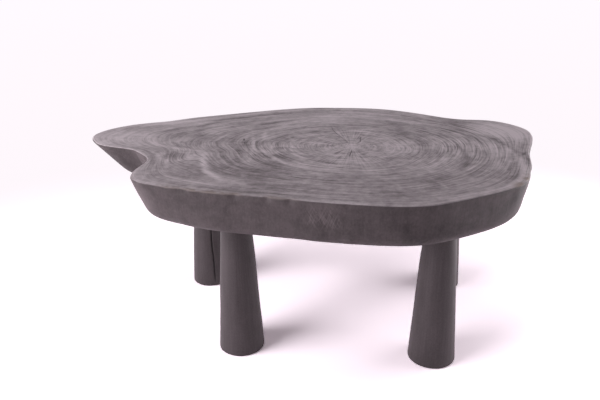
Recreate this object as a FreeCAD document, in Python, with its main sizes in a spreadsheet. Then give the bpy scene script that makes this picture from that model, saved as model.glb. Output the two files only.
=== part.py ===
import FreeCAD, Part
import os
from enum import IntEnum, auto
import Sketcher

# Live edge coffee table: one cross-cut slab of a trunk on four turned, tapered legs.
# Origin on the floor under the middle of the slab, X along the slab, Y to the back, Z up.

# Driving dimensions in millimetres
SIZES = {
    "table_height": 423,
    "slab_length": 1124,
    "slab_width": 832,
    "slab_thickness": 91,
    "arris_rounding": 4.5,
    "underside_rounding": 26,
    # how far each stretch of the bark edge draws in towards the heart at the underside
    "undercut_right": 16,
    "undercut_back": 14,
    "undercut_tail_back": 64,
    "undercut_tail_tip": 96,
    "undercut_tail_front": 86,
    "undercut_crease": 60,
    "undercut_notch": 23,
    "undercut_lobe": 31,
    "undercut_lobe_corner": 17,
    "undercut_front": 4,
    "undercut_front_right": 7,
    # leg axes, measured in from the ends and the long sides of the slab
    "front_left_from_end": 394,
    "front_left_from_front": 206,
    "front_right_from_end": 301,
    "front_right_from_front": 153,
    "rear_left_from_end": 281,
    "rear_left_from_back": 302,
    "rear_right_from_end": 206,
    "rear_right_from_back": 341,
    "foot_diameter": 105,
    "shoulder_diameter": 63,
    "foot_easing": 4,
    # hanger bolt: wood screw end in the leg, machine thread end in the slab
    "bolt_diameter": 10,
    "bolt_wood_length": 55,
    "bolt_machine_length": 26,
    "bolt_point_length": 9,
    "bolt_fit": 0.1,
    # threaded insert let into the underside of the slab
    "insert_length": 30,
    "insert_wall": 4,
    "insert_fit": 0.1,
    "bore_end_clearance": 2,
}

# Control points of the live edge, anticlockwise from the right end: percent of half the
# length, percent of half the width, and the stretch of edge whose undercut it takes.
# The heart of the trunk, which the growth rings go round, is given the same way.
LIVE_EDGE = [
    (101.8, 22, "right"),
    (98.7, 39.5, "right"),
    (89.7, 56, "right"),
    (76.5, 55.5, "back"),
    (66.8, 64, "back"),
    (54.8, 80.7, "back"),
    (37.5, 96, "back"),
    (15, 99, "back"),
    (-1, 101, "back"),
    (-22, 92.5, "back"),
    (-41, 81.5, "back"),
    (-62, 71, "back"),
    (-71, 60, "back"),
    (-83, 57, "tail_back"),
    (-95.5, 44.5, "tail_tip"),
    (-101.7, 26.5, "tail_tip"),
    (-97, 12.5, "tail_tip"),
    (-90.5, -0.5, "tail_front"),
    (-78, -3, "crease"),
    (-70, -16.5, "notch"),
    (-65, -27, "notch"),
    (-66.5, -37, "notch"),
    (-68.5, -49, "lobe"),
    (-66, -63.5, "lobe"),
    (-54.5, -70.5, "lobe_corner"),
    (-39, -79, "front"),
    (-20.5, -85, "front"),
    (3, -95, "front"),
    (20, -99, "front_right"),
    (35, -101.5, "front_right"),
    (49, -92, "front_right"),
    (64, -82, "front_right"),
    (75.3, -70, "right"),
    (82.1, -48, "right"),
    (86.3, -29, "right"),
    (87.7, -20.5, "right"),
    (94, -4, "right"),
]
HEART_PERCENT = (16.6, -6.5)
HALF_PERCENT = 200

# Leg axes as expressions of the sheet
LEG_AXES = {
    "front_left": (
        "Sizes.front_left_from_end - Sizes.slab_length / 2",
        "Sizes.front_left_from_front - Sizes.slab_width / 2",
    ),
    "front_right": (
        "Sizes.slab_length / 2 - Sizes.front_right_from_end",
        "Sizes.front_right_from_front - Sizes.slab_width / 2",
    ),
    "rear_left": (
        "Sizes.rear_left_from_end - Sizes.slab_length / 2",
        "Sizes.slab_width / 2 - Sizes.rear_left_from_back",
    ),
    "rear_right": (
        "Sizes.slab_length / 2 - Sizes.rear_right_from_end",
        "Sizes.slab_width / 2 - Sizes.rear_right_from_back",
    ),
}

UNDERSIDE = "(Sizes.table_height - Sizes.slab_thickness)"
SEAT_DEPTH = "max(Sizes.insert_length; Sizes.bolt_machine_length) + Sizes.bore_end_clearance"
BORE_DIAMETER = "(Sizes.bolt_diameter + 2 * Sizes.bolt_fit)"
INSERT_DIAMETER = "(Sizes.bolt_diameter + 2 * Sizes.insert_wall)"

# Outlines of the slab from the underside up: name, level, share of the undercut, inset.
# Each rounding is two flats that meet where an arc is halfway round.
HALFWAY_ROUND = round(1 - 0.5 ** 0.5, 4)
SIDE_RISE = "(Sizes.slab_thickness - Sizes.arris_rounding)"
EDGE_SECTIONS = [
    ("underside_outline", UNDERSIDE, "1", "Sizes.underside_rounding"),
    (
        "belly_outline",
        f"{UNDERSIDE} + Sizes.underside_rounding * {HALFWAY_ROUND}",
        "1",
        f"Sizes.underside_rounding * {HALFWAY_ROUND}",
    ),
    (
        "side_foot_outline",
        f"{UNDERSIDE} + Sizes.underside_rounding",
        f"(1 - Sizes.underside_rounding / {SIDE_RISE})",
        "0",
    ),
    ("edge_outline", "Sizes.table_height - Sizes.arris_rounding", "0", "0"),
    (
        "arris_outline",
        f"Sizes.table_height - Sizes.arris_rounding * {HALFWAY_ROUND}",
        "0",
        f"Sizes.arris_rounding * {HALFWAY_ROUND}",
    ),
    ("top_outline", "Sizes.table_height", "0", "Sizes.arris_rounding"),
]

ROOT = -1
H_AXIS = -1
V_AXIS = -2


class Spot(IntEnum):
    """Points of a line or a circle that a constraint can hold, in the sketcher's order."""

    START = auto()
    END = auto()
    CENTRE = auto()


# A seat has a round wall and a floor
FACES_PER_SEAT = 2


def make_sheet(doc):
    """Spreadsheet with one named cell for each driving dimension."""
    sheet = doc.addObject("Spreadsheet::Sheet", "Sizes")
    for row, (name, value) in enumerate(SIZES.items(), start=1):
        sheet.set(f"A{row}", name)
        sheet.set(f"B{row}", str(value))
        sheet.setAlias(f"B{row}", name)
    doc.recompute()


def new_body(doc, label):
    """Body of one piece, labelled with the piece's name."""
    body = doc.addObject("PartDesign::Body", label)
    body.Label = label
    return body


def new_sketch(body, name, role, level=None):
    """Sketch on one of the body's own origin planes, raised to a level of the sheet."""
    plane = [item for item in body.Origin.OriginFeatures if item.Role == role][0]
    sketch = body.newObject("Sketcher::SketchObject", name)
    sketch.AttachmentSupport = [(plane, "")]
    sketch.MapMode = "FlatFace"
    if level:
        sketch.setExpression("AttachmentOffset.Base.z", level)
    return sketch


def pin_points(sketch, pins):
    """Hold points of a sketch at expressions measured across and up from its origin."""
    constraints = []
    expressions = []
    for geometry, point, across, up in pins:
        for kind, axis, expression in (("DistanceX", V_AXIS, across), ("DistanceY", H_AXIS, up)):
            if expression == "0":
                held = (geometry, point, axis)
                constraints.append(Sketcher.Constraint("PointOnObject", *map(int, held)))
            else:
                held = (ROOT, Spot.START, geometry, point)
                constraints.append(Sketcher.Constraint(kind, *map(int, held), 1.0))
            expressions.append(expression)
    rows = sketch.addConstraint(constraints)
    for row, expression in zip(rows, expressions):
        if expression != "0":
            sketch.setExpression(f"Constraints[{row}]", expression)


def sketch_circle(sketch, diameter):
    """Circle of a bound diameter, left free to be pinned at its centre."""
    circle = Part.Circle(FreeCAD.Vector(0, 0, 0), FreeCAD.Vector(0, 0, 1), 1.0)
    ring = sketch.addGeometry(circle, False)
    row = sketch.addConstraint(Sketcher.Constraint("Diameter", ring, 2.0))
    sketch.setExpression(f"Constraints[{row}]", diameter)
    return ring


def slab_point(along, across):
    """Place on the slab, from percents of half its length and half its width."""
    x = along * SIZES["slab_length"] / HALF_PERCENT
    y = across * SIZES["slab_width"] / HALF_PERCENT
    return FreeCAD.Vector(x, y, 0)


def live_edge_sketch(body, name, level, lean, inset):
    """Closed cubic B-spline, drawn in to the heart by a share of the undercut and an inset."""
    sketch = new_sketch(body, name, "XY_Plane", level)
    places = [slab_point(along, across) for along, across, _ in LIVE_EDGE]
    curve = Part.BSplineCurve(places, None, None, True, 3, None, False)
    spline = sketch.addGeometry(curve, False)
    sketch.exposeInternalGeometry(spline)
    handles = [
        number for number, item in enumerate(sketch.Geometry) if isinstance(item, Part.Circle)
    ]
    pins = []
    for handle, place, (along, across, stretch) in zip(handles, places, LIVE_EDGE):
        inward = (slab_point(*HEART_PERCENT) - place).normalize()
        drawn_in = f"(Sizes.undercut_{stretch} * {lean} + {inset})"
        x = f"Sizes.slab_length * {along / HALF_PERCENT:.5f} + {drawn_in} * {inward.x:.5f}"
        y = f"Sizes.slab_width * {across / HALF_PERCENT:.5f} + {drawn_in} * {inward.y:.5f}"
        pins.append((handle, Spot.CENTRE, x, y))
    pin_points(sketch, pins)
    return sketch


def make_slab(doc):
    """Cross-cut slab: bark edge lofted through six outlines, and seats for the inserts."""
    slab = new_body(doc, "slab_top")
    outlines = [
        live_edge_sketch(slab, name, level, lean, inset)
        for name, level, lean, inset in EDGE_SECTIONS
    ]
    bark = slab.newObject("PartDesign::AdditiveLoft", "bark_edge")
    bark.Profile = outlines[0]
    bark.Sections = outlines[1:]
    bark.Ruled = True
    seats = new_sketch(slab, "insert_axes", "XY_Plane", UNDERSIDE)
    rings = [sketch_circle(seats, INSERT_DIAMETER) for _ in LEG_AXES]
    places = zip(rings, LEG_AXES.values())
    pin_points(seats, [(ring, Spot.CENTRE, *axis) for ring, axis in places])
    doc.recompute()
    hole = slab.newObject("PartDesign::Hole", "insert_seats")
    hole.Profile = seats
    hole.Reversed = True
    hole.DepthType = "Dimension"
    hole.DrillPoint = "Flat"
    hole.setExpression("Diameter", f"{INSERT_DIAMETER} + 2 * Sizes.insert_fit")
    hole.setExpression("Depth", SEAT_DEPTH)
    doc.recompute()
    seat_faces = len(hole.Shape.Faces) - len(bark.Shape.Faces)
    if seat_faces != FACES_PER_SEAT * len(LEG_AXES):
        raise RuntimeError("an insert seat is not cut whole")
    return slab


def turned(body, name, corners):
    """Solid of revolution about Z from corners given as expressions of radius and height."""
    sketch = new_sketch(body, f"{name}_profile", "XZ_Plane")
    rough = [FreeCAD.Vector(number + 1.0, number * number, 0) for number in range(len(corners))]
    lines = []
    for number, start in enumerate(rough):
        finish = rough[(number + 1) % len(rough)]
        lines.append(sketch.addGeometry(Part.LineSegment(start, finish), False))
    for number, line in enumerate(lines):
        following = lines[(number + 1) % len(lines)]
        met = (line, Spot.END, following, Spot.START)
        sketch.addConstraint(Sketcher.Constraint("Coincident", *map(int, met)))
    pin_points(sketch, [(line, Spot.START, *corner) for line, corner in zip(lines, corners)])
    solid = body.newObject("PartDesign::Revolution", name)
    solid.Profile = sketch
    solid.ReferenceAxis = (sketch, ["V_Axis"])
    solid.Angle = 360
    return solid


def stand_on_axis(body, place, level):
    """Move a body that is drawn about the origin onto its leg's axis."""
    across, up = LEG_AXES[place]
    body.setExpression("Placement.Base.x", across)
    body.setExpression("Placement.Base.y", up)
    if level:
        body.setExpression("Placement.Base.z", level)


def make_leg(doc, place):
    """Turned leg: wide eased foot, straight taper, flat shoulder bored for the hanger bolt."""
    leg = new_body(doc, f"leg_{place}")
    foot = "Sizes.foot_diameter / 2"
    easing = "Sizes.foot_easing"
    taper = f"(Sizes.foot_diameter - Sizes.shoulder_diameter) / 2 / {UNDERSIDE}"
    corners = [
        ("0", "0"),
        (f"{foot} - {easing}", "0"),
        (f"{foot} - {easing} * {taper}", easing),
        ("Sizes.shoulder_diameter / 2", UNDERSIDE),
        ("0", UNDERSIDE),
    ]
    cone = turned(leg, "taper", corners)
    axis = new_sketch(leg, "bolt_axis", "XY_Plane", UNDERSIDE)
    ring = sketch_circle(axis, BORE_DIAMETER)
    pin_points(axis, [(ring, Spot.CENTRE, "0", "0")])
    doc.recompute()
    bore = leg.newObject("PartDesign::Pocket", "bolt_bore")
    bore.Profile = axis
    bore.setExpression("Length", "Sizes.bolt_wood_length + Sizes.bore_end_clearance")
    stand_on_axis(leg, place, None)
    doc.recompute()
    if bore.Shape.Volume >= cone.Shape.Volume:
        raise RuntimeError("the bolt bore cuts nothing")
    return leg


def make_bolt(doc, place):
    """Hanger bolt: pointed wood screw end below the joint, machine thread end above it."""
    bolt = new_body(doc, f"hanger_bolt_{place}")
    radius = "Sizes.bolt_diameter / 2"
    corners = [
        ("0", "-Sizes.bolt_wood_length"),
        (radius, "Sizes.bolt_point_length - Sizes.bolt_wood_length"),
        (radius, "Sizes.bolt_machine_length"),
        ("0", "Sizes.bolt_machine_length"),
    ]
    turned(bolt, "shank", corners)
    stand_on_axis(bolt, place, UNDERSIDE)
    return bolt


def make_insert(doc, place):
    """Threaded insert: open sleeve, its lower end flush with the underside of the slab."""
    insert = new_body(doc, f"threaded_insert_{place}")
    bore = f"{BORE_DIAMETER} / 2"
    sleeve = f"{INSERT_DIAMETER} / 2"
    corners = [
        (bore, "0"),
        (sleeve, "0"),
        (sleeve, "Sizes.insert_length"),
        (bore, "Sizes.insert_length"),
    ]
    turned(insert, "sleeve", corners)
    stand_on_axis(insert, place, UNDERSIDE)
    return insert


def check_model(doc, pieces):
    """Stop before anything is written if an object failed or a piece is not one sound solid."""
    for item in doc.Objects:
        if "Invalid" in item.State or "Error" in item.State:
            raise RuntimeError(f"{item.Label} failed: {item.State}")
    for piece in pieces:
        shape = piece.Shape
        if shape.isNull() or not shape.isValid() or len(shape.Solids) != 1:
            raise RuntimeError(f"{piece.Label} is not one valid solid")


def main():
    doc = FreeCAD.newDocument("live_edge_coffee_table")
    make_sheet(doc)
    pieces = [make_slab(doc)]
    for place in LEG_AXES:
        pieces.append(make_leg(doc, place))
        pieces.append(make_bolt(doc, place))
        pieces.append(make_insert(doc, place))
    doc.recompute()
    check_model(doc, pieces)
    os.makedirs("parts", exist_ok=True)
    for piece in pieces:
        piece.Shape.exportStep(f"parts/{piece.Label}.step")
        box = piece.Shape.optimalBoundingBox(False, False)
        print(piece.Label, f"{box.XLength:.1f} x {box.YLength:.1f} x {box.ZLength:.1f} mm")


main()
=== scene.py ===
import math

import bpy
import numpy as np
from mathutils import Matrix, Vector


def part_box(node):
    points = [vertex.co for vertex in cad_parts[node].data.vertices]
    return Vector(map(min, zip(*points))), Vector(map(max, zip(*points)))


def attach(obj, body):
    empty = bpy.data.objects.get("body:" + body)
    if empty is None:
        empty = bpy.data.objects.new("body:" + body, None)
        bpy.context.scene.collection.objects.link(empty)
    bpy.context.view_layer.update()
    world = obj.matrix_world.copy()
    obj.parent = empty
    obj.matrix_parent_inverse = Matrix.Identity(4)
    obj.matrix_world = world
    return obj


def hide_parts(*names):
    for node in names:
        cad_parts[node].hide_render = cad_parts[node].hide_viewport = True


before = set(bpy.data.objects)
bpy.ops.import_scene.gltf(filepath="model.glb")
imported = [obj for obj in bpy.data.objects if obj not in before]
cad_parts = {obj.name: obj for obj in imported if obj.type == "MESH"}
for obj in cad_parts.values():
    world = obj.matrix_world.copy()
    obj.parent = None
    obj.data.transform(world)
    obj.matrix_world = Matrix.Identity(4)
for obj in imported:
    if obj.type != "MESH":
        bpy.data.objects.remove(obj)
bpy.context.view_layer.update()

# Live edge coffee table: the slab and the legs get skins worked out here, in metres and in the
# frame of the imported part. The bolts and inserts keep their own solids.

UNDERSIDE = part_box("slab_top")[0].z
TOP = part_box("slab_top")[1].z

# Slab: the heart that the growth rings go round, and the two roundings of the bark edge
HEART = np.array([0.0933, -0.02704])
ARRIS = 0.0045
BELLY = 0.026
HALFWAY_ROUND = 1 - math.sqrt(0.5)

# Handle of the cubic that comes closest to a quarter circle, for a radius of 1
ROUND_HANDLE = 4 / 3 * (math.sqrt(2) - 1)

# How far the skin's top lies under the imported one, which leaves room for raised grain
TOP_SINK = 0.0004

# Tighter rounding under the left lobe: its turn and reach in degrees, and how much fuller it is
LOBE_TURN = 203
LOBE_REACH = 8
LOBE_FULLNESS = 0.005

# Flat on the right end, where the upper edge stands in: its turn and reach in degrees, and how far
FLAT_TURN = -30
FLAT_REACH = 6
FLAT_DEPTH = 0.0045

# Grid of the slab's skin: directions round the heart, then rings and rows from the heart outward
TURNS = 560
TOP_RINGS = 124
ARRIS_ROWS = 6
SIDE_ROWS = 18
BELLY_ROWS = 8
UNDER_RINGS = 9
TURN = np.linspace(0, 2 * np.pi, TURNS, endpoint=False)
RAYS = np.stack([np.cos(TURN), np.sin(TURN)], -1)
WAVES = np.arange(TURNS // 2 + 1)

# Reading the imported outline: how near its level a corner has to lie, the decimals of its angle,
# and about how many waves to the round are kept, because finer ones are the facets' chords
LEVEL_TOLERANCE = 3e-5
ANGLE_DECIMALS = 5
OUTLINE_WAVES = 80

# Growth rings: the power that fades the outline's waves towards the heart, with what each further
# wave adds to it on the lobed left and on the rounder right, and the cosines between which the
# left gives way to the right
WAVE_POWER = 1.4
LOBED_POWER = 0.33
ROUND_POWER = 0.85
LOBED_TO_ROUND = (-0.3, 0.5)

# Rings wander past this radius, and up to this share of the way out
FREE_RADIUS = 0.09
FREE_SHARE = 0.96
RING_WANDER = 0.0022

# Finer wander of the rings on the buttress at the left, which begins between these distances
BUTTRESS = (0.08, 0.25)
BUTTRESS_WANDER = 0.0018

# Side stem that grew together with the trunk at the left: middle and half sizes in millimetres,
# how far it holds the rings back, and how fast that fades
SIDE_STEM = ((-300, -105), (62, 80))
STEM_PULL = 0.034
STEM_FADE = 1.6

# Age of the rows past the rim of the top, for each row
AGE_PER_ROW = 0.006

# Relief of the top: broad swells, and brushing along the rings
BROAD_SWELL = 0.00035
BRUSHING = 0.00022

# Drying checks that run out from the heart, in millimetres: places along each, half width, depth
CHECKS = [
    ([(92, -4), (83, 41), (69, 89), (61, 128), (57, 170)], 0.95, 4.5),
    ([(107, -5), (119, 15), (123, 39), (125, 61)], 0.9, 4.0),
    ([(93, -53), (89, -77), (83, -107)], 0.8, 3.0),
    ([(63, -17), (20, -15), (-28, -11)], 0.7, 2.2),
    ([(69, -5), (40, 19), (18, 41)], 0.8, 2.0),
    ([(121, -21), (149, -9), (180, 11)], 0.9, 2.5),
    ([(115, -41), (145, -63)], 0.8, 2.0),
    ([(75, -51), (51, -85)], 0.8, 2.0),
]

# Share of its width that a check keeps at its ends
CHECK_END = 0.35

# Single strokes of the figure, in millimetres: places along each, half width, lightness, rise
STROKES = [
    ([(-405, 40), (-365, 0), (-315, -30), (-262, -50)], 7, 0.20, 0.4),
    ([(-262, -50), (-246, -80), (-242, -130), (-226, -200), (-190, -258), (-140, -288)], 8, 0.34, 0.9),
    ([(-345, 95), (-340, 40), (-305, 0), (-265, -30)], 6, 0.16, 0.3),
    ([(-350, -75), (-327, -120), (-314, -166), (-309, -213)], 6, 0.12, 0.3),
    ([(-149, 86), (-139, 2), (-139, -83)], 5, 0.23, 0.4),
    ([(-118, 140), (-117, 30)], 5, 0.19, 0.3),
    ([(-95, 12), (-97, -60), (-83, -120), (-58, -162), (-18, -190), (35, -208)], 5, 0.24, 0.5),
    ([(-38, 10), (-50, -40), (-40, -90), (-18, -128)], 5, 0.18, 0.3),
    ([(-110, 140), (-62, 203), (-20, 228)], 6, 0.15, 0.2),
    ([(275, 235), (300, 200), (340, 170)], 5, 0.17, 0.2),
    ([(458, -55), (451, -126), (417, -214)], 7, 0.15, 0.2),
    ([(242, -291), (253, -325)], 3, 0.19, 0.0),
    ([(452, -160), (434, -238), (412, -278), (386, -306), (360, -325), (322, -350)], 11, 0.30, 0.0),
    ([(345, -336), (285, -362), (237, -398), (180, -408)], 9, 0.16, 0.0),
    ([(-440, 215), (-325, 262), (-205, 322), (-97, 367), (20, 389)], 13, 0.20, 0.0),
    ([(-20, 389), (137, 382), (243, 348), (312, 288), (372, 238)], 13, 0.18, 0.0),
    ([(-280, 240), (-235, 270), (-180, 292), (-130, 315)], 10, -0.26, -0.2),
    ([(-140, 200), (-80, 235), (-20, 268)], 10, -0.26, -0.2),
    ([(-258, 255), (-292, 195), (-292, 120), (-270, 50)], 12, -0.17, -0.2),
    ([(-400, 118), (-365, 160), (-345, 182)], 9, -0.24, -0.3),
    ([(-490, 165), (-460, 202)], 9, -0.20, -0.2),
    ([(-178, -24), (-162, -102)], 6, -0.23, -0.3),
    ([(290, 190), (345, 140), (385, 90), (405, 30), (410, -20)], 7, -0.26, -0.3),
    ([(360, 150), (410, 90), (445, 30), (460, -30), (463, -95)], 7, -0.28, -0.3),
    ([(375, 205), (405, 150), (440, 95)], 5, -0.20, -0.2),
    ([(420, 40), (435, -20)], 16, -0.14, -0.1),
    ([(345, -10), (350, -80), (335, -150), (310, -210)], 8, -0.20, -0.2),
    ([(452, -100), (432, -175), (395, -235), (345, -285)], 6, -0.20, -0.2),
    ([(445, -172), (412, -247), (380, -292), (345, -325), (303, -349)], 5, -0.15, -0.2),
    ([(488, -88), (478, -100), (464, -122)], 5, -0.38, -0.8),
]

# Upright flutes of the bark edge
FINE_FLUTES = 0.0004
BROAD_FLUTES = 0.0005

# Creases down the bark edge: turn from the heart in degrees, half width and depth in millimetres
CREASES = [
    (176.3, 4.0, 2.6),
    (178.6, 3.0, 2.2),
    (181.2, 5.0, 4.5),
    (183.6, 3.0, 1.8),
    (-8.4, 4.5, 3.5),
]

# Steps in the bark under the tail's arris: turn from and to in degrees, then drop below the top,
# half height and depth in millimetres, and the degrees over which each begins and ends
STEPS = [
    (183.0, 191.5, 6.5, 2.6, 2.2),
    (182.0, 191.5, 18.0, 4.0, 2.2),
]
STEP_BEGIN = 2
STEP_END = 1.5

# Worn stretch of the front arris: the turns in degrees between which it begins and ends, and how
# deep its dents are for each unit that a random field has above a threshold, up to a limit. They
# begin at a share of the way out and end a few rows below the arris
WORN_ARC = (200, 210, 255, 270)
DENT_DEPTH = 0.0022
DENT_THRESHOLD = 0.2
DENT_LIMIT = 2
DENT_SHARE = 0.975
DENT_ROWS = 3


def node_points(node):
    """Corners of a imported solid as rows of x, y, z."""
    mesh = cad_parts[node].data
    points = np.zeros(len(mesh.vertices) * 3, np.float32)
    mesh.vertices.foreach_get("co", points)
    return points.reshape(-1, 3).astype(float)


def metres(millimetres):
    """Millimetres of a table as metres."""
    return tuple(value / 1000 for value in millimetres)


def show(piece):
    """Puts an object into the scene and hands it back."""
    bpy.context.scene.collection.objects.link(piece)
    return piece


def cross(a, b):
    """Signed area of the parallelogram on two flat vectors."""
    return a[..., 0] * b[..., 1] - a[..., 1] * b[..., 0]


def ease(value, low, high):
    """Smooth step from 0 at the low value to 1 at the high one."""
    part = np.clip((value - low) / (high - low), 0, 1)
    return part * part * (3 - 2 * part)


def turn_gap(turn):
    """Angle from a turn in degrees to each direction, in radians either way."""
    return (TURN - math.radians(turn) + np.pi) % (2 * np.pi) - np.pi


def bell_round(turn, reach):
    """Bell curve over the directions: 1 at a turn, fading over a reach, both in degrees."""
    return np.exp(-((turn_gap(turn) / math.radians(reach)) ** 2))


def arc(start, full, fading, stop):
    """1 over an arc of directions, easing in from start to full and out from fading to stop."""
    inside = ease(TURN, math.radians(start), math.radians(full))
    return inside * (1 - ease(TURN, math.radians(fading), math.radians(stop)))


def half_wave(along, end, power):
    """Power of half a sine wave over a path from 0 to 1, held level within each end."""
    return np.sin(np.pi * np.clip(along, end, 1 - end)) ** power


def cloud(seed, rows, across, around, turns=TURNS):
    """Smooth random field on a grid of rows by directions, closed both ways.

    Seeded white noise whose waves are faded by a bell curve, so that about so many are left
    across the rows and around the middle, then brought to a spread of one.
    """
    noise = np.random.default_rng(seed).normal(size=(rows, turns))
    down = np.fft.fftfreq(rows, 1 / rows)[:, None] / across
    waves = np.arange(turns // 2 + 1)
    keep = np.exp(-(down**2) - (waves / around) ** 2)
    field = np.fft.irfft2(np.fft.rfft2(noise) * keep, s=noise.shape)
    return field / field.std()


def near_path(places, path):
    """Distance of each place from a path of straight runs, and how far along it, from 0 to 1."""
    path = np.array(path) / 1000
    runs = np.diff(path, axis=0)
    lengths = np.linalg.norm(runs, axis=1)
    offset = places[..., None, :] - path[:-1]
    part = np.clip((offset * runs).sum(-1) / lengths**2, 0, 1)
    gap = np.linalg.norm(offset - part[..., None] * runs, axis=-1)
    nearest = gap.argmin(-1)[..., None]
    before = np.concatenate([[0], np.cumsum(lengths)[:-1]])
    along = (before + part * lengths) / lengths.sum()
    pick = np.take_along_axis
    return pick(gap, nearest, -1)[..., 0], pick(along, nearest, -1)[..., 0]


def skin(name, rows, values, material):
    """Closed skin over a grid of rings, with values kept at its corners for the finish to read.

    Four-sided faces join neighbouring rings, and a fan of triangles closes each end, where the
    first and the last ring shrink to one point.
    """
    steps, turns = rows.shape[:2]

    def flat(grid):
        """One row for each corner, with the first and the last ring drawn into one corner."""
        grid = grid.reshape(steps, turns, -1)
        inner = grid[1:-1].reshape(-1, grid.shape[2])
        return np.vstack([grid[0].mean(0), inner, grid[-1].mean(0)])

    points = flat(rows)
    here = np.arange(turns)
    there = (here + 1) % turns
    ring = 1 + turns * np.arange(steps - 3)[:, None]
    quads = np.stack([ring + here, ring + turns + here, ring + turns + there, ring + there], -1)
    last = 1 + turns * (steps - 3)
    pole = np.zeros(turns, int)
    first_fan = np.stack([pole, 1 + here, 1 + there], -1)
    last_fan = np.stack([last + here, pole + len(points) - 1, last + there], -1)
    corners = np.concatenate([first_fan.ravel(), quads.ravel(), last_fan.ravel()])
    sizes = np.concatenate([pole + 3, np.full(quads.size // 4, 4), pole + 3])
    mesh = bpy.data.meshes.new(name)
    mesh.vertices.add(len(points))
    mesh.vertices.foreach_set("co", points.astype(np.float32).ravel())
    mesh.loops.add(len(corners))
    mesh.loops.foreach_set("vertex_index", corners.astype(np.int32))
    mesh.polygons.add(len(sizes))
    mesh.polygons.foreach_set("loop_start", (np.cumsum(sizes) - sizes).astype(np.int32))
    mesh.update(calc_edges=True)
    mesh.polygons.foreach_set("use_smooth", np.ones(len(sizes), bool))
    for label, grid in values.items():
        kind, field = ("FLOAT_VECTOR", "vector") if grid.ndim == 3 else ("FLOAT", "value")
        layer = mesh.attributes.new(label, kind, "POINT")
        layer.data.foreach_set(field, flat(grid).astype(np.float32).ravel())
    mesh.materials.append(material)
    return show(bpy.data.objects.new(name, mesh))


def bark_outline(level):
    """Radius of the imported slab's outline at one level, for each direction from the heart.

    A ray from the heart meets the chord between the two corners that it passes between, at the
    cross product of the corners over the cross product of the ray and the chord. The finest waves
    are then faded out, which rounds the chords off.
    """
    corners = node_points("slab_top")
    corners = corners[np.abs(corners[:, 2] - level) < LEVEL_TOLERANCE, :2] - HEART
    angle = np.arctan2(corners[:, 1], corners[:, 0]) % (2 * np.pi)
    angle, order = np.unique(np.round(angle, ANGLE_DECIMALS), return_index=True)
    corners = corners[order]
    after = np.searchsorted(angle, TURN) % len(angle)
    start = corners[after - 1]
    chord = corners[after] - start
    radius = cross(start, chord) / cross(RAYS, chord)
    return np.fft.irfft(np.fft.rfft(radius) * np.exp(-((WAVES / OUTLINE_WAVES) ** 4)), TURNS)


def slab_outlines():
    """Outlines of the slab's edge from the top down, as radii from the heart.

    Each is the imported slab's outline at its level. A bell curve round the heart takes the upper
    edge in at the right end, another fills the belly out under the left lobe, and the underside
    lies in from the belly by the other half of its rounding.
    """
    flat = FLAT_DEPTH * bell_round(FLAT_TURN, FLAT_REACH)
    belly = bark_outline(UNDERSIDE + BELLY * HALFWAY_ROUND)
    belly = belly + LOBE_FULLNESS * bell_round(LOBE_TURN, LOBE_REACH)
    return {
        "top": bark_outline(TOP) - flat,
        "edge": bark_outline(TOP - ARRIS) - flat,
        "side_foot": bark_outline(UNDERSIDE + BELLY),
        "belly": belly,
        "under": belly - BELLY * (1 - HALFWAY_ROUND),
    }


def growth_rings(outline, share):
    """Radius of the growth ring at each share of the way out, for each direction.

    A ring is the outline with each of its waves faded by that share to a power that grows with
    the wave's number, so the rings are round at the heart and take up the outline further out.
    The power grows more slowly on the left, where the rings stay lobed for longer.
    """
    waves = np.fft.rfft(outline)
    lobed, rounder = (
        np.fft.irfft(waves * share ** np.where(WAVES > 0, WAVE_POWER + more * WAVES, 1.0), TURNS)
        for more in (LOBED_POWER, ROUND_POWER)
    )
    return lobed + (rounder - lobed) * ease(np.cos(TURN), *LOBED_TO_ROUND)


def ring_age(even, places, free):
    """How far out the tree had grown at each place of the top, which the figure is drawn along.

    The even growth plus a smooth random field, plus a finer one on the buttress at the left, and
    less a bell-shaped hollow where the side stem grew in.
    """
    age = even + RING_WANDER * free * cloud(5, TOP_RINGS, across=8, around=7)
    buttress = ease(-places[..., 0], *BUTTRESS) * free
    age = age + BUTTRESS_WANDER * buttress * cloud(6, TOP_RINGS, across=6, around=30)
    middle, half = np.array(SIDE_STEM) / 1000
    within = np.linalg.norm((places - middle) / half, axis=-1)
    return age - STEM_PULL * np.exp(-(within**2) * STEM_FADE)


def top_carving(places, free):
    """Relief of the top, and how much of a check and of a stroke there is at each place.

    Two smooth random fields, less a bell-shaped groove along each check, plus a bell-shaped ridge
    or, below nought, hollow along each stroke. Half a sine wave narrows a check and fades a
    stroke towards their ends.
    """
    swells = BROAD_SWELL * cloud(1, TOP_RINGS, across=5, around=4)
    relief = (swells + BRUSHING * cloud(2, TOP_RINGS, across=26, around=7)) * free
    check = np.zeros_like(relief)
    for path, width, depth in CHECKS:
        gap, along = near_path(places, path)
        narrowing = CHECK_END + (1 - CHECK_END) * half_wave(along, end=0.02, power=0.6)
        opening = width / 1000 * narrowing
        groove = np.exp(-((gap / opening) ** 2))
        check = np.maximum(check, groove)
        relief = relief - depth / 1000 * groove * half_wave(along, end=0.03, power=0.5)
    stroke = np.zeros_like(relief)
    for path, width, light, rise in STROKES:
        gap, along = near_path(places, path)
        crest = np.exp(-((gap / width * 1000) ** 2)) * half_wave(along, end=0.04, power=0.6)
        stroke = stroke + light * crest
        relief = relief + rise / 1000 * crest
    return relief, check, stroke


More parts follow.
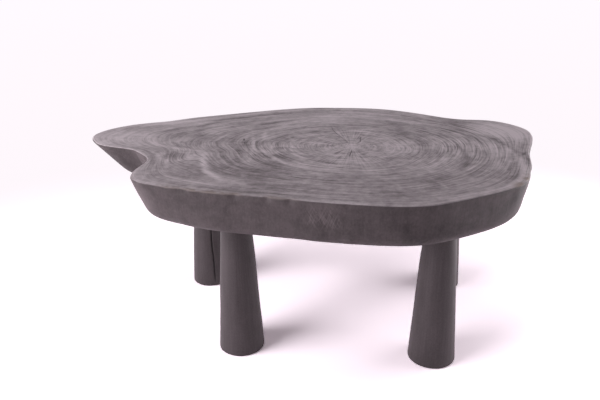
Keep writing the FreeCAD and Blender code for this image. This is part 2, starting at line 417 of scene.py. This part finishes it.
def flank_rows(outline):
    """Radius and height of the bark edge's rows, from the rim of the top to the underside.

    The arris is a quarter of an ellipse, the side is straight from the edge outline to the side's
    foot, and the belly is a cubic arc that leaves the side in line, passes the belly outline
    halfway and ends level at the underside.
    """
    rim, edge, side_foot, belly, under = outline.values()
    around = np.linspace(0, np.pi / 2, ARRIS_ROWS + 1)[1:, None]
    arris_radius = rim + (edge - rim) * np.sin(around)
    arris_height = TOP - TOP_SINK - (ARRIS - TOP_SINK) * (1 - np.cos(around))

    down = np.linspace(0, 1, SIDE_ROWS + 1)[1:, None]
    side_radius = edge + (side_foot - edge) * down
    side_height = TOP - ARRIS + (UNDERSIDE + BELLY - TOP + ARRIS) * down

    handle = BELLY * ROUND_HANDLE
    slope = (edge - side_foot) / (TOP - ARRIS - UNDERSIDE - BELLY)
    in_line = side_foot - slope * handle
    level = (8 * belly - side_foot - 3 * in_line - under) / 3
    part = np.linspace(0, 1, BELLY_ROWS + 1)[1:, None]
    weights = ((1 - part) ** 3, 3 * part * (1 - part) ** 2, 3 * part**2 * (1 - part), part**3)
    radii = (side_foot, in_line, level, under)
    heights = (BELLY, BELLY - handle, 0.0, 0.0)
    belly_radius = sum(weight * radius for weight, radius in zip(weights, radii))
    belly_height = UNDERSIDE + sum(weight * height for weight, height in zip(weights, heights))

    radius = np.concatenate([arris_radius, side_radius, belly_radius])
    return radius, np.concatenate([arris_height, side_height, belly_height])


def bark_marks(edge, height):
    """How far the bark stands out at each row and direction of the flank.

    Two smooth random fields make upright flutes, less a bell-shaped groove down each crease and
    a bell-shaped ledge along each step. All of it fades out at the rim and at the underside.
    """
    rows = len(height)
    marks = FINE_FLUTES * cloud(3, rows, across=1.2, around=60)
    marks = marks + BROAD_FLUTES * cloud(4, rows, across=2, around=22)
    for turn, width, depth in CREASES:
        marks = marks - depth / 1000 * np.exp(-((turn_gap(turn) * edge / width * 1000) ** 2))
    drop = (TOP - height) * 1000
    for start, stop, below, half, depth in STEPS:
        reach = arc(start, start + STEP_BEGIN, stop - STEP_END, stop)
        marks = marks - depth / 1000 * reach * np.exp(-(((drop - below) / half) ** 2))
    row = np.arange(rows)[:, None]
    return marks * ease(row, 0, ARRIS_ROWS) * (1 - ease(row, rows - 4, rows - 1))


def rim_dents():
    """Depth of the dents in the worn arris: a random field's part above a threshold, on that arc."""
    field = cloud(7, 1, across=1, around=95)[0]
    return DENT_DEPTH * arc(*WORN_ARC) * np.clip(field - DENT_THRESHOLD, 0, DENT_LIMIT)


def slab_skin(material):
    """Cross-cut slab from the heart of its top, over the bark edge, to the heart of its underside.

    Growth rings with the carving as their height, then the rows of the flank moved in and out by
    the bark's marks, then the underside's outline shrunk evenly to the heart. The dents take the
    outermost rings and the first rows in.
    """
    outline = slab_outlines()
    share = np.linspace(0, 1, TOP_RINGS)[:, None]
    top_radius = growth_rings(outline["top"], share)
    places = top_radius[..., None] * RAYS + HEART
    free = ease(top_radius, 0.0, FREE_RADIUS) * (1 - ease(share, FREE_SHARE, 1.0))
    mean_radius = outline["top"].mean()
    age = ring_age(share * mean_radius, places, free)
    relief, check, stroke = top_carving(places, free)

    flank, flank_height = flank_rows(outline)
    flank = flank + bark_marks(outline["edge"], flank_height)
    dents = rim_dents()
    row = np.arange(len(flank))[:, None]
    flank = flank - (1 - ease(row, ARRIS_ROWS - 1, ARRIS_ROWS + DENT_ROWS)) * dents
    top_radius = top_radius - ease(share, DENT_SHARE, 1.0) * dents

    inward = np.linspace(1, 0, UNDER_RINGS + 1)[1:, None]
    radius = np.concatenate([top_radius, flank, outline["under"] * inward])
    height = np.full(radius.shape, UNDERSIDE)
    height[:TOP_RINGS] = TOP - TOP_SINK + relief
    height[TOP_RINGS:-UNDER_RINGS] = flank_height
    grid = np.concatenate([radius[..., None] * RAYS + HEART, height[..., None]], -1)

    total = len(radius)
    beyond = total - TOP_RINGS
    outer_age = mean_radius + AGE_PER_ROW * np.arange(1, beyond + 1)[:, None]
    age = np.concatenate([age, np.broadcast_to(outer_age, (beyond, TURNS))])
    plain = np.zeros((beyond, TURNS))
    step = np.broadcast_to(np.arange(total)[:, None], radius.shape)
    values = {
        "grain": np.concatenate([np.broadcast_to(RAYS, (total, TURNS, 2)), age[..., None]], -1),
        "side": ease(step, TOP_RINGS + 1, TOP_RINGS + 3),
        "rim": ease(step, TOP_RINGS - 6, TOP_RINGS) * (1 - ease(step, TOP_RINGS + 2, TOP_RINGS + 5)),
        "check": np.concatenate([check, plain]),
        "stroke": np.concatenate([stroke, plain]),
    }
    return skin("slab_top_wood", grid, values, material)


# Legs: a turned taper with an eased foot, and the bore for the hanger bolt
FOOT_EASING = 0.004
SHOULDER_RADIUS = 0.0315
FOOT_RADIUS = 0.0525
BOLT_BORE = 0.0051
BORE_DEPTH = 0.057

# Grid of a leg's skin, and the share of the shoulder's and the sole's radius that has a ring too
LEG_TURNS = 160
TAPER_ROWS = 60
EASING_ROWS = 8
INNER_RING = 0.6

# How far a turned leg is out of round, and the number that its random fields are drawn with
OUT_OF_ROUND = 0.00035
LEG_SEEDS = {"front_left": 1, "front_right": 2, "rear_left": 3, "rear_right": 4}

# Grain of the legs: the radius that it is laid round, and its shift for each seed
GRAIN_RADIUS = 0.045
GRAIN_SHIFT = 0.31

# Drying check down one leg: its turn in radians and lean in radians for each metre, its wander
# from row to row, its half width and depth, and the heights between which it begins and ends
SPLIT_LEG = "rear_left"
SPLIT_TURN = -1.32
SPLIT_LEAN = -0.35
SPLIT_WANDER = 0.006
SPLIT_WIDTH = 0.0014
SPLIT_DEPTH = 0.006
SPLIT_BEGIN = (0.004, 0.034)
SPLIT_END = (0.28, 0.33)


def leg_profile():
    """Radius and height from the middle of the bolt bore's floor to the middle of the sole.

    Up the bore, over the shoulder, down a straight taper, and a quarter of an ellipse round the
    eased foot.
    """
    down = np.linspace(0, 1, TAPER_ROWS + 1)
    taper_height = UNDERSIDE - (UNDERSIDE - FOOT_EASING) * down
    taper = (FOOT_RADIUS - SHOULDER_RADIUS) / UNDERSIDE
    taper_radius = SHOULDER_RADIUS + taper * (UNDERSIDE - taper_height)
    bend = np.linspace(0, np.pi / 2, EASING_ROWS + 1)[1:]
    sole = FOOT_RADIUS - FOOT_EASING
    foot_radius = sole + (taper_radius[-1] - sole) * np.cos(bend)
    foot_height = FOOT_EASING * (1 - np.sin(bend))
    floor = UNDERSIDE - BORE_DEPTH
    head_radius = [0, BOLT_BORE, BOLT_BORE, INNER_RING * SHOULDER_RADIUS]
    head_height = [floor, floor, UNDERSIDE, UNDERSIDE]
    radius = np.concatenate([head_radius, taper_radius, foot_radius, [INNER_RING * sole, 0]])
    height = np.concatenate([head_height, taper_height, foot_height, [0, 0]])
    return radius, height


def leg_check(seed, turn, radius, height):
    """How much of the drying check there is at each row and direction of the leg.

    A bell curve across a path that leans evenly and wanders as a random walk, fading out at its
    lower and its upper end.
    """
    walk = np.cumsum(np.random.default_rng(seed).normal(size=len(radius))) * SPLIT_WANDER
    path = SPLIT_TURN + (SPLIT_LEAN * (height - UNDERSIDE / 2) + walk - walk.mean())[:, None]
    gap = (turn - path + np.pi) % (2 * np.pi) - np.pi
    reach = ease(height, *SPLIT_BEGIN) * (1 - ease(height, *SPLIT_END))
    return np.exp(-((gap * radius[:, None] / SPLIT_WIDTH) ** 2)) * reach[:, None]


def leg_skin(place, material):
    """Turned leg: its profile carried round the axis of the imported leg.

    The radius of the taper gets a little out of round from a smooth random field, and one leg has
    a drying check, which is a narrow groove.
    """
    seed = LEG_SEEDS[place]
    low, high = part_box(f"leg_{place}")
    axis = np.array([(low.x + high.x) / 2, (low.y + high.y) / 2])
    turn = np.linspace(0, 2 * np.pi, LEG_TURNS, endpoint=False)
    rays = np.stack([np.cos(turn), np.sin(turn)], -1)
    radius, height = leg_profile()
    steps = len(radius)
    row = np.arange(steps)
    # From just under the shoulder to just above the sole
    body = (ease(row, 4, 10) * (1 - ease(row, steps - 11, steps - 3)))[:, None]
    wander = OUT_OF_ROUND * cloud(seed, steps, across=3, around=5, turns=LEG_TURNS)
    shape = radius[:, None] + wander * body
    check = np.zeros_like(shape)
    if place == SPLIT_LEG:
        check = leg_check(seed, turn, radius, height) * body
    shape = shape - SPLIT_DEPTH * check
    level = np.broadcast_to(height[:, None, None], (steps, LEG_TURNS, 1))
    grid = np.concatenate([shape[..., None] * rays + axis, level], -1)
    laid = np.broadcast_to(rays * GRAIN_RADIUS, (steps, LEG_TURNS, 2)) + seed * GRAIN_SHIFT
    values = {"grain": np.concatenate([laid, level], -1), "check": check}
    return skin(f"leg_{place}_wood", grid, values, material)


def paint(red, green, blue):
    """Colour as the shader takes it, from the 0 to 255 values seen on a screen."""
    seen = np.array([red, green, blue]) / 255
    linear = np.where(seen <= 0.04045, seen / 12.92, ((seen + 0.055) / 1.055) ** 2.4)
    return (*linear.tolist(), 1.0)


class Finish:
    """One finish's node tree, with short calls for the nodes that the finishes share."""

    def __init__(self, name):
        self.material = bpy.data.materials.new(name)
        self.material.use_nodes = True
        self.tree = self.material.node_tree
        self.shader = self.tree.nodes["Principled BSDF"]

    def add(self, kind, inputs, output=0, **settings):
        """One node: settings first, then each input linked or set, and one output handed back."""
        node = self.tree.nodes.new(kind)
        for name, value in settings.items():
            setattr(node, name, value)
        self.feed(node, inputs)
        return node.outputs[output]

    def feed(self, node, inputs):
        """Inputs of a node by name or number: a socket is linked, and any other value is set."""
        for name, value in inputs.items():
            if isinstance(value, bpy.types.NodeSocket):
                self.tree.links.new(value, node.inputs[name])
            else:
                node.inputs[name].default_value = value

    def kept(self, label, output="Fac"):
        """A value kept at the corners of the mesh."""
        return self.add("ShaderNodeAttribute", {}, output, attribute_name=label)

    def place(self):
        """Places of the piece, in metres."""
        return self.add("ShaderNodeTexCoord", {}, "Object")

    def axis(self, vector, name):
        """One axis of a vector."""
        return self.add("ShaderNodeSeparateXYZ", {"Vector": vector}, name)

    def length(self, vector):
        """Length of a vector."""
        return self.add("ShaderNodeVectorMath", {0: vector}, "Value", operation="LENGTH")

    def slant(self, vector, lean):
        """Places leaned over about the axis that runs from front to back."""
        return self.add("ShaderNodeMapping", {"Vector": vector, "Rotation": (0, lean, 0)})

    def noise(self, vector, scale, detail=2.0, rough=0.5, shift=(0, 0, 0)):
        """Random field about a half, with so many waves to the unit along each axis."""
        inputs = {"Vector": vector, "Scale": scale, "Location": shift}
        stretched = self.add("ShaderNodeMapping", inputs)
        inputs = {"Vector": stretched, "Scale": 1.0, "Detail": detail, "Roughness": rough}
        return self.add("ShaderNodeTexNoise", inputs, "Fac")

    def sums(self, operation, first, second):
        """One operation on two values."""
        return self.add("ShaderNodeMath", {0: first, 1: second}, operation=operation)

    def span(self, value, low, high, to_low=0.0, to_high=1.0):
        """Smooth step of a value between two levels, carried to two others."""
        inputs = {"Value": value, "From Min": low, "From Max": high}
        inputs.update({"To Min": to_low, "To Max": to_high})
        return self.add("ShaderNodeMapRange", inputs, interpolation_type="SMOOTHSTEP")

    def blend(self, amount, first, second):
        """Colour between two others."""
        inputs = {0: amount, 6: first, 7: second}
        return self.add("ShaderNodeMix", inputs, 2, data_type="RGBA")

    def between(self, amount, first, second):
        """Value between two others."""
        return self.add("ShaderNodeMix", {0: amount, 2: first, 3: second})

    def line(self, value, level, width, strength):
        """Thin line where a value passes a level, fading out to both sides of it."""
        off = self.sums("ABSOLUTE", self.sums("SUBTRACT", value, level), 0.0)
        return self.span(off, 0.0, width, strength, 0.0)

    def spot(self, vector, centre, size, turn=0.0, soft=0.5):
        """Soft-edged oval: 1 in its middle, 0 past its rim."""
        inputs = {"Vector": vector, "Location": centre, "Rotation": (0, 0, turn), "Scale": size}
        inside = self.add("ShaderNodeMapping", inputs, vector_type="TEXTURE")
        return self.span(self.length(inside), 1 - soft, 1.0, 1.0, 0.0)

    def top_spot(self, vector, middle, size, turn, soft):
        """Soft-edged oval on the slab's top, with its middle and half sizes in millimetres."""
        return self.spot(vector, (*metres(middle), TOP), (*metres(size), SPOT_HEIGHT), turn, soft)

    def weigh(self, parts):
        """Sum of values about a half, each times its weight, added to a half."""
        total = 0.5
        for value, weight in parts:
            inputs = {0: value, 1: weight, 2: -0.5 * weight}
            centred = self.add("ShaderNodeMath", inputs, operation="MULTIPLY_ADD")
            total = self.sums("ADD", centred, total)
        return total

    def bump(self, height, strength, distance):
        """Normals of a fine relief."""
        inputs = {"Height": height, "Strength": strength, "Distance": distance}
        return self.add("ShaderNodeBump", inputs)


# Half height of the ovals on the slab's top
SPOT_HEIGHT = 0.03

# Fields of the top's figure: waves round the heart and outward, detail, roughness, shift
FIGURE = {
    "bands": (0.7, 24, 2.0, 0.5, (0, 0, 0)),
    "rings": (0.9, 80, 2.0, 0.6, (8, 2, 0)),
    "lines": (1.5, 210, 2.0, 0.6, (3, 1, 0)),
    "dashes": (2.8, 270, 2.0, 0.6, (6, 4, 0)),
    "hairs": (5.5, 760, 1.0, 0.6, (1, 7, 0)),
    "mottle": (4, 36, 3.0, 0.6, (9, 1, 0)),
    "rays": (40, 7, 2.0, 0.6, (5, 5, 0)),
    "seams": (0.6, 55, 2.0, 0.5, (2, 9, 0)),
}

# Thin lines of the figure: field, level that it passes, width, lightness
FIGURE_LINES = [
    ("seams", 0.46, 0.02, -0.12),
    ("seams", 0.55, 0.02, 0.1),
    ("rings", 0.47, 0.02, -0.06),
    ("rings", 0.57, 0.02, 0.06),
]

# How strong the figure is: two levels of a value, and the strength at each. The values are the
# place across, the place from front to back, the blotches and the age of the ring
FIGURE_ACROSS = (-0.35, 0.08, 0.42, 1.0)
FIGURE_BACK = (-0.38, -0.1, 0.38, 1.0)
FIGURE_BLOTCH = (0.36, 0.64, 0.55, 1.25)
FIGURE_AGE = (0.03, 0.16, 0.65, 1.0)

# Darker and, below nought, lighter patches of the top, and its black nicks, in millimetres:
# middle, half sizes, turn, strength
TOP_PATCHES = [
    ((235, 85), (45, 55), 0.0, 0.20),
    ((292, 112), (28, 34), 0.0, 0.20),
    ((100, 122), (36, 28), 0.0, 0.22),
    ((-313, -88), (38, 44), 0.2, 0.32),
    ((60, -330), (420, 120), 0.0, 0.11),
    ((-160, -190), (190, 160), 0.0, 0.28),
    ((-200, -10), (130, 170), 0.0, 0.14),
    ((320, -230), (100, 100), 0.0, 0.06),
    ((215, -55), (90, 95), 0.0, -0.20),
    ((400, -60), (150, 260), 0.0, -0.12),
    ((80, 265), (260, 110), 0.0, -0.26),
    ((-470, 90), (180, 140), 0.0, -0.24),
    ((-400, 240), (130, 60), 0.45, -0.28),
    ((505, 110), (130, 140), 0.0, -0.62),
    ((-300, 150), (180, 130), 0.0, -0.08),
]
PATCH_DARKNESS = 0.7
TOP_NICKS = [
    ((-167, 45), (3, 16), 0.1, 1.0),
    ((-163, 15), (2.5, 12), 0.2, 0.9),
    ((-278, 120), (2, 10), 0.5, 0.6),
    ((-272, -312), (4, 4), 0.0, 0.8),
    ((-197, -324), (5, 3), 0.2, 0.9),
    ((-178, -302), (5, 2), 0.3, 0.7),
    ((-163, -306), (4, 2), 0.1, 0.8),
]

# Rubbed edge of the top: the stain worn thin at the front left, and a painted highlight where the
# rounded edge catches the light at the front right, in millimetres: middle, half sizes, colour
EDGE_WEAR_AND_HIGHLIGHT = [
    ((-170, -320), (260, 100), (130, 118, 117)),
    ((415, -265), (75, 100), (148, 132, 127)),
]

# Patches of the bark edge, lighter or, below nought, darker, in millimetres: middle, half sizes,
# strength. The strong light one at the right end is a painted highlight, where that end catches the
# light from the right
SIDE_PATCHES = [
    ((-15, -375, 372), (90, 60, 50), -0.06),
    # Painted highlight: the right end of the bark edge, lit from the right
    ((440, -225, 380), (60, 100, 80), 0.95),
    ((-430, 10, 385), (110, 90, 60), -0.18),
    ((-380, -240, 375), (90, 80, 70), 0.36),
    ((-240, -315, 375), (90, 60, 60), -0.08),
    ((320, -400, 375), (140, 90, 60), -0.06),
    ((150, -398, 372), (90, 60, 60), -0.06),
    ((395, -330, 385), (50, 60, 60), -0.12),
]

# Scuffed spot on the front of the bark edge: middle, half sizes, and the leans of its marks
SCUFF_MIDDLE = (0.012, -0.375, 0.390)
SCUFF_SIZE = (0.055, 0.07, 0.034)
SCUFF_LEANS = (0.55, -0.35)


def top_tone(wood, field, grain, place, blotch):
    """Lightness of the brushed end grain: the figure, its thin lines, the heart, strokes, patches."""
    crisp = wood.span(field["lines"], 0.36, 0.64)
    brush = wood.span(field["dashes"], 0.36, 0.64)
    growth = wood.weigh([
        (field["bands"], 0.25),
        (field["rings"], 0.34),
        (crisp, 0.17),
        (brush, 0.22),
        (field["hairs"], 0.42),
    ])
    age = wood.axis(grain, "Z")
    figure = wood.sums("SUBTRACT", growth, 0.5)
    for value, levels in (
        (wood.axis(place, "X"), FIGURE_ACROSS),
        (wood.axis(place, "Y"), FIGURE_BACK),
        (blotch, FIGURE_BLOTCH),
        (age, FIGURE_AGE),
    ):
        figure = wood.sums("MULTIPLY", figure, wood.span(value, *levels))
    fuzz = wood.noise(place, (70, 70, 70), 3.0, 0.6)
    ground = wood.weigh([(fuzz, 0.5), (blotch, 0.5), (field["mottle"], 0.55)])
    tone = wood.sums("ADD", figure, ground)
    for name, level, width, light in FIGURE_LINES:
        tone = wood.sums("ADD", tone, wood.line(field[name], level, width, light))
    flecks = wood.sums("SUBTRACT", field["rays"], 0.45)
    flecks = wood.sums("MULTIPLY", flecks, wood.span(age, 0.02, 0.24, 1.2, 0.0))
    brushed = wood.span(field["dashes"], 0.3, 0.62, 0.7, 1.15)
    heart = wood.span(age, 0.0, 0.034, 0.17, 0.0)
    sapwood = wood.span(age, 0.435, 0.46, 0.0, 0.08)
    for light in (flecks, heart, sapwood, wood.sums("MULTIPLY", wood.kept("stroke"), brushed)):
        tone = wood.sums("ADD", tone, light)
    for middle, size, turn, strength in TOP_PATCHES:
        patch = wood.top_spot(place, middle, size, turn, 1.0)
        tone = wood.sums("SUBTRACT", tone, wood.sums("MULTIPLY", patch, PATCH_DARKNESS * strength))
    return tone


def top_colour(wood, tone, place):
    """Stain on the top, light or dark by its tone, and near black in the checks and nicks."""
    colour = wood.blend(wood.span(tone, 0.0, 1.0), paint(84, 74, 78), paint(219, 206, 213))
    dark = wood.kept("check")
    for middle, size, turn, strength in TOP_NICKS:
        nick = wood.top_spot(place, middle, size, turn, 0.7)
        dark = wood.sums("MAXIMUM", dark, wood.sums("MULTIPLY", nick, strength))
    return wood.blend(dark, colour, paint(48, 40, 42))


def bark_colour(wood, place, fibre, streak):
    """Stain on the bark edge: upright fibre, rubbed and porous, with scuffs and broad patches, one of
    them a painted highlight down the right end.
    """
    stain = wood.noise(place, (8, 8, 11), 3.0, 0.6, (4, 0, 1))
    rubbed = wood.noise(place, (45, 45, 60), 3.0, 0.65, (0, 6, 2))
    pores = wood.noise(place, (260, 260, 180), 2.0, 0.6, (7, 3, 1))
    tone = wood.weigh([(fibre, 0.16), (streak, 0.1), (stain, 0.5), (rubbed, 0.3), (pores, 0.25)])
    scuffed = wood.spot(place, SCUFF_MIDDLE, SCUFF_SIZE, soft=0.8)
    for lean in SCUFF_LEANS:
        scuffs = wood.noise(wood.slant(place, lean), (330, 40, 40), 2.0, 0.6)
        marks = wood.sums("MULTIPLY", scuffed, wood.span(scuffs, 0.45, 0.7, 0.0, 0.24))
        tone = wood.sums("ADD", tone, marks)
    for middle, size, strength in SIDE_PATCHES:
        patch = wood.spot(place, metres(middle), metres(size), soft=1.0)
        tone = wood.sums("ADD", tone, wood.sums("MULTIPLY", patch, strength))
    return wood.blend(wood.span(tone, 0.0, 1.0), paint(35, 30, 32), paint(112, 101, 105))


def end_grain_finish():
    """Charcoal stain, brushed: rings, rays and checks on the top, upright fibre on the bark edge, and
    painted highlights on the front right arris and down the right end of the bark edge.
    """
    wood = Finish("charcoal_end_grain")
    grain = wood.kept("grain", "Vector")
    side = wood.kept("side")
    place = wood.place()
    field = {
        name: wood.noise(grain, (around, around, outward), detail, rough, shift)
        for name, (around, outward, detail, rough, shift) in FIGURE.items()
    }
    blotch = wood.noise(place, (7, 7, 7), 3.0, 0.55)
    fibre = wood.noise(place, (60, 60, 5), 3.0, 0.55)
    streak = wood.noise(place, (230, 230, 11), 2.0, 0.6, (2, 3, 0))

    on_top = top_colour(wood, top_tone(wood, field, grain, place, blotch), place)
    colour = wood.blend(side, on_top, bark_colour(wood, place, fibre, streak))
    # Mask along the rim of the top: worn stain at the front left, a painted highlight at the front
    # right
    rubbed = wood.span(wood.noise(place, (30, 30, 30), 3.0, 0.6), 0.35, 0.6)
    wear_and_highlight = wood.sums("MULTIPLY", wood.kept("rim"), rubbed)
    for middle, size, shade in EDGE_WEAR_AND_HIGHLIGHT:
        patch = wood.top_spot(place, middle, size, 0.0, 0.6)
        colour = wood.blend(wood.sums("MULTIPLY", wear_and_highlight, patch), colour, paint(*shade))

    top_height = wood.weigh([(field["lines"], 0.8), (field["hairs"], 0.9), (field["rings"], 0.6)])
    side_height = wood.weigh([(fibre, 0.5), (streak, 0.8)])
    height = wood.between(side, top_height, side_height)
    gloss = wood.weigh([(field["lines"], 0.3), (blotch, 0.2)])
    rough = wood.span(gloss, 0.0, 1.0, 0.5, 0.72)
    wood.feed(wood.shader, {"Base Color": colour, "Roughness": rough, "Specular IOR Level": 0.2})
    wood.feed(wood.shader, {"Normal": wood.bump(height, 0.5, 0.0006)})
    return wood.material


def leg_finish():
    """Charcoal stain on turned wood: fine upright streaks, broad stains, grit and a soft sheen."""
    wood = Finish("charcoal_leg_wood")
    grain = wood.kept("grain", "Vector")
    fibre = wood.noise(grain, (70, 70, 5), 3.0, 0.55)
    streak = wood.noise(grain, (320, 320, 14), 2.0, 0.6, (1, 4, 0))
    stain = wood.noise(grain, (14, 14, 9), 2.0, 0.5, (6, 0, 2))
    grit = wood.noise(grain, (420, 420, 300), 2.0, 0.7, (3, 2, 5))
    tone = wood.weigh([(fibre, 0.3), (streak, 0.25), (stain, 0.6), (grit, 0.4)])
    colour = wood.blend(wood.span(tone, 0.0, 1.0), paint(51, 44, 46), paint(93, 84, 88))
    colour = wood.blend(wood.kept("check"), colour, paint(34, 30, 31))
    height = wood.weigh([(fibre, 0.5), (streak, 0.8)])
    rough = wood.span(stain, 0.2, 0.8, 0.46, 0.62)
    wood.feed(wood.shader, {"Base Color": colour, "Roughness": rough, "Specular IOR Level": 0.25})
    wood.feed(wood.shader, {"Normal": wood.bump(height, 0.4, 0.0005)})
    return wood.material


def metal_finish(name, dark, light, low, high):
    """Turned metal: fine rings of tool marks in the colour and the gloss."""
    metal = Finish(name)
    place = metal.place()
    marks = metal.noise(place, (300, 300, 2600), 2.0, 0.6)
    film = metal.noise(place, (160, 160, 160), 2.0, 0.5)
    tone = metal.weigh([(marks, 0.7), (film, 0.5)])
    colour = metal.blend(metal.span(tone, 0.0, 1.0), dark, light)
    rough = metal.span(tone, 0.0, 1.0, high, low)
    metal.feed(metal.shader, {"Base Color": colour, "Roughness": rough, "Metallic": 1.0})
    metal.feed(metal.shader, {"Normal": metal.bump(marks, 0.15, 0.0002)})
    return metal.material


# Surround: its colour, and how strongly it lights the pieces
SURROUND_COLOUR = (1.0, 0.955, 0.985, 1.0)
SURROUND_FILL = 0.07

# Floor: half its length, the gain with which the camera sees it, the colour that it shows far
# away, and the distances between which the one gives way to the other
FLOOR_REACH = 30.0
FLOOR_GAIN = (2.5, 2.25, 2.43, 1.0)
FAR_COLOUR = (0.98, 0.92, 0.962, 1.0)
FAR_FROM = 0.5
FAR_FULL = 1.6

# Soft lamps: place, aim, width and height in metres, power in watts
LAMP_COLOUR = (1.0, 0.985, 0.99)
LAMPS = {
    "left_lamp": ((-2.04, -1.04, 1.0), (0.0, 0.0, 0.25), (2.1, 1.4), 52.0),
    "right_lamp": ((1.75, 0.1, 0.42), (0.0, 0.0, 0.25), (2.3, 0.7), 23.0),
    "top_lamp": ((0.0, 0.2, 2.7), (0.0, 0.0, 0.4), (2.4, 2.4), 12.5),
}


def seen_or(tree, unseen):
    """1 for the rays of the camera, of reflections and of see-through pieces, else a set value."""
    nodes, links = tree.nodes, tree.links
    path = nodes.new("ShaderNodeLightPath")
    seen = path.outputs["Is Camera Ray"]
    for ray in ("Is Glossy Ray", "Is Transmission Ray"):
        either = nodes.new("ShaderNodeMath")
        either.operation = "MAXIMUM"
        links.new(seen, either.inputs[0])
        links.new(path.outputs[ray], either.inputs[1])
        seen = either.outputs[0]
    value = nodes.new("ShaderNodeMapRange")
    value.inputs["To Min"].default_value = unseen
    value.inputs["To Max"].default_value = 1.0
    links.new(seen, value.inputs["Value"])
    return value.outputs[0]


def surround():
    """White surround that is bright to look at and lights the pieces only faintly."""
    world = bpy.data.worlds.new("studio_surround")
    world.use_nodes = True
    ground = world.node_tree.nodes["Background"]
    ground.inputs["Color"].default_value = SURROUND_COLOUR
    world.node_tree.links.new(seen_or(world.node_tree, SURROUND_FILL), ground.inputs["Strength"])
    bpy.context.scene.world = world


def paper_finish():
    """Pale paper, seen brighter than it is: a gain near the table, an even glow far from it."""
    paper = Finish("studio_paper")
    fleck = paper.noise(paper.place(), (3, 3, 3), 2.0, 0.5)
    tint = paper.blend(fleck, paint(243, 237, 240), paint(247, 242, 245))
    seen = seen_or(paper.tree, 0.0)
    far = paper.span(paper.length(paper.place()), FAR_FROM, FAR_FULL)
    shown = paper.blend(far, FLOOR_GAIN, (0.0, 0.0, 0.0, 1.0))
    tint = paper.blend(seen, tint, shown)
    paper.feed(paper.shader, {"Base Color": tint, "Roughness": 0.9, "Specular IOR Level": 0.1})
    paper.feed(paper.shader, {"Emission Color": FAR_COLOUR})
    paper.feed(paper.shader, {"Emission Strength": paper.sums("MULTIPLY", seen, far)})
    return paper.material


def studio_floor():
    """Flat square of paper under the table."""
    mesh = bpy.data.meshes.new("studio_floor")
    corners = [(x * FLOOR_REACH, y * FLOOR_REACH, 0) for x, y in ((-1, -1), (1, -1), (1, 1), (-1, 1))]
    mesh.from_pydata(corners, [], [(0, 1, 2, 3)])
    mesh.materials.append(paper_finish())
    floor = show(bpy.data.objects.new("studio_floor", mesh))


def lamps():
    """Wide soft lamps: the strongest at the front left, one low at the right and one overhead."""
    for name, (place, aim, size, power) in LAMPS.items():
        lamp = bpy.data.lights.new(name, "AREA")
        lamp.shape = "ELLIPSE"
        lamp.size, lamp.size_y = size
        lamp.energy = power
        lamp.color = LAMP_COLOUR
        holder = show(bpy.data.objects.new(name, lamp))
        away = np.array(place) - np.array(aim)
        yaw = math.atan2(away[1], away[0]) + math.pi / 2
        pitch = math.atan2(math.hypot(away[0], away[1]), away[2])
        holder.location = place
        holder.rotation_euler = (pitch, 0.0, yaw)


# Camera: place in metres, degrees down and of roll, sensor in millimetres, and the photograph's
# width and focal length in pixels
CAMERA_PLACE = (-0.02946, -1.36463, 0.80086)
CAMERA_DOWN = 20.99
CAMERA_ROLL = -0.64
SENSOR_WIDTH = 36.0
PHOTO_WIDTH = 600
FOCAL_LENGTH = 583
FARTHEST_SEEN = 200.0


def camera():
    """Camera at the photograph's place: a lens of about 35 mm, looking down, with a touch of roll."""
    lens = bpy.data.cameras.new("camera")
    lens.sensor_width = SENSOR_WIDTH
    lens.lens = SENSOR_WIDTH * FOCAL_LENGTH / PHOTO_WIDTH
    lens.clip_end = FARTHEST_SEEN
    view = show(bpy.data.objects.new("camera", lens))
    pitch = Matrix.Rotation(math.radians(90 - CAMERA_DOWN), 4, "X")
    roll = Matrix.Rotation(math.radians(CAMERA_ROLL), 4, "Z")
    view.matrix_world = Matrix.Translation(CAMERA_PLACE) @ pitch @ roll
    bpy.context.scene.camera = view


def main():
    """Camera and studio, the slab, then each leg with its bolt and insert."""
    bpy.context.scene.view_settings.view_transform = "Standard"
    camera()
    surround()
    studio_floor()
    lamps()
    slab = slab_skin(end_grain_finish())
    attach(slab, "root")
    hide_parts("slab_top")
    wood = leg_finish()
    steel = metal_finish("bolt_zinc_steel", paint(150, 150, 154), paint(196, 197, 200), 0.28, 0.45)
    brass = metal_finish("insert_brass", paint(170, 132, 66), paint(214, 178, 104), 0.25, 0.42)
    for place in LEG_SEEDS:
        leg = leg_skin(place, wood)
        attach(leg, "root")
        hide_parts(f"leg_{place}")
        for node, metal in ((f"hanger_bolt_{place}", steel), (f"threaded_insert_{place}", brass)):
            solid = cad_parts[node]
            solid.data.materials.clear()
            solid.data.materials.append(metal)


main()
